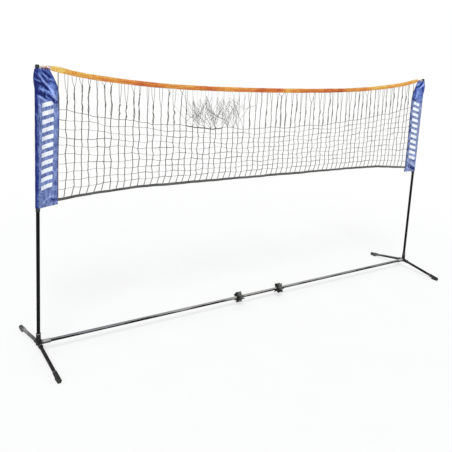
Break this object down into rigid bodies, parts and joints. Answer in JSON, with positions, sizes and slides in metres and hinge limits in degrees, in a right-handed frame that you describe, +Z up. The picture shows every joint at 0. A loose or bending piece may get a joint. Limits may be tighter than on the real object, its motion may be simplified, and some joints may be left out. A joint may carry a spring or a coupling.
{
  "type": "volleyball net on poles",
  "caption": "Free-standing lawn volleyball net: an orange-taped mesh with blue end sleeves on telescopic poles, which a long ground bar and splayed feet hold up.",
  "frame": {"origin": "on the ground under the middle of the crossbar", "axes": "+X along the net to the right pole, +Y to the rear, +Z up"},
  "size_m": [3.0346, 0.6922, 1.55],
  "materials": {
    "pole_steel": "satin",
    "ferrule_steel": "satin",
    "connector_plastic": "matte",
    "cap_rubber": "matte",
    "black_plastic": "satin",
    "clip_plastic": "satin",
    "lock_nylon": "satin",
    "sleeve_nylon": "satin",
    "orange_tape": "matte",
    "white_cord": "matte",
    "black_webbing": "matte",
    "net_cord": "matte"
  },
  "bodies": {
    "base": {"connector_left": "connector_plastic", "connector_right": "connector_plastic", "crossbar_ferrule_left": "ferrule_steel", "crossbar_ferrule_right": "ferrule_steel", "crossbar_left": "pole_steel", "crossbar_middle": "pole_steel", "crossbar_right": "pole_steel", "foot_cap_front_left": "cap_rubber", "foot_cap_front_right": "cap_rubber", "foot_cap_rear_left": "cap_rubber", "foot_cap_rear_right": "cap_rubber", "foot_tube_front_left": "pole_steel", "foot_tube_front_right": "pole_steel", "foot_tube_rear_left": "pole_steel", "foot_tube_rear_right": "pole_steel", "guide_collar_left": "black_plastic", "guide_collar_right": "black_plastic", "lower_pole_left": "pole_steel", "lower_pole_right": "pole_steel"},
    "net_carriage": {"lock_ring_left": "lock_nylon", "sleeve_left": "sleeve_nylon", "sleeve_right": "sleeve_nylon", "net_mesh": "net_cord", "head_tape": "orange_tape", "head_rope": "white_cord", "bottom_hem": "black_webbing"},
    "left_upper_pole": {"upper_pole_left": "pole_steel", "pole_cap_left": "black_plastic", "lock_core_left": "lock_nylon"},
    "right_carriage": {"lock_ring_right": "lock_nylon"},
    "right_upper_pole": {"upper_pole_right": "pole_steel", "pole_cap_right": "black_plastic", "lock_core_right": "lock_nylon"},
    "left_clip": {"storage_clip_left": "clip_plastic"},
    "right_clip": {"storage_clip_right": "clip_plastic"}
  },
  "joints": [
    {"name": "left_height", "type": "slide", "parent": "base", "child": "net_carriage", "axis": [0, 0, 1], "range_m": [-0.65, 0]},
    {"name": "right_height", "type": "slide", "parent": "base", "child": "right_carriage", "axis": [0, 0, 1], "range_m": [-0.65, 0]},
    {"name": "left_twist_lock", "type": "hinge", "parent": "net_carriage", "child": "left_upper_pole", "pos_m": [-1.5, 0, 0.775], "axis": [0, 0, 1], "range_deg": [0, 90]},
    {"name": "right_twist_lock", "type": "hinge", "parent": "right_carriage", "child": "right_upper_pole", "pos_m": [1.5, 0, 0.775], "axis": [0, 0, 1], "range_deg": [0, 90]},
    {"name": "left_clip_turn", "type": "hinge", "parent": "base", "child": "left_clip", "pos_m": [-0.17, 0, 0.065], "axis": [1, 0, 0], "continuous": true},
    {"name": "right_clip_turn", "type": "hinge", "parent": "base", "child": "right_clip", "pos_m": [0.17, 0, 0.065], "axis": [1, 0, 0], "continuous": true}
  ],
  "couplings": [
    {"joint": "right_height", "follows": "left_height", "ratio": 1}
  ]
}
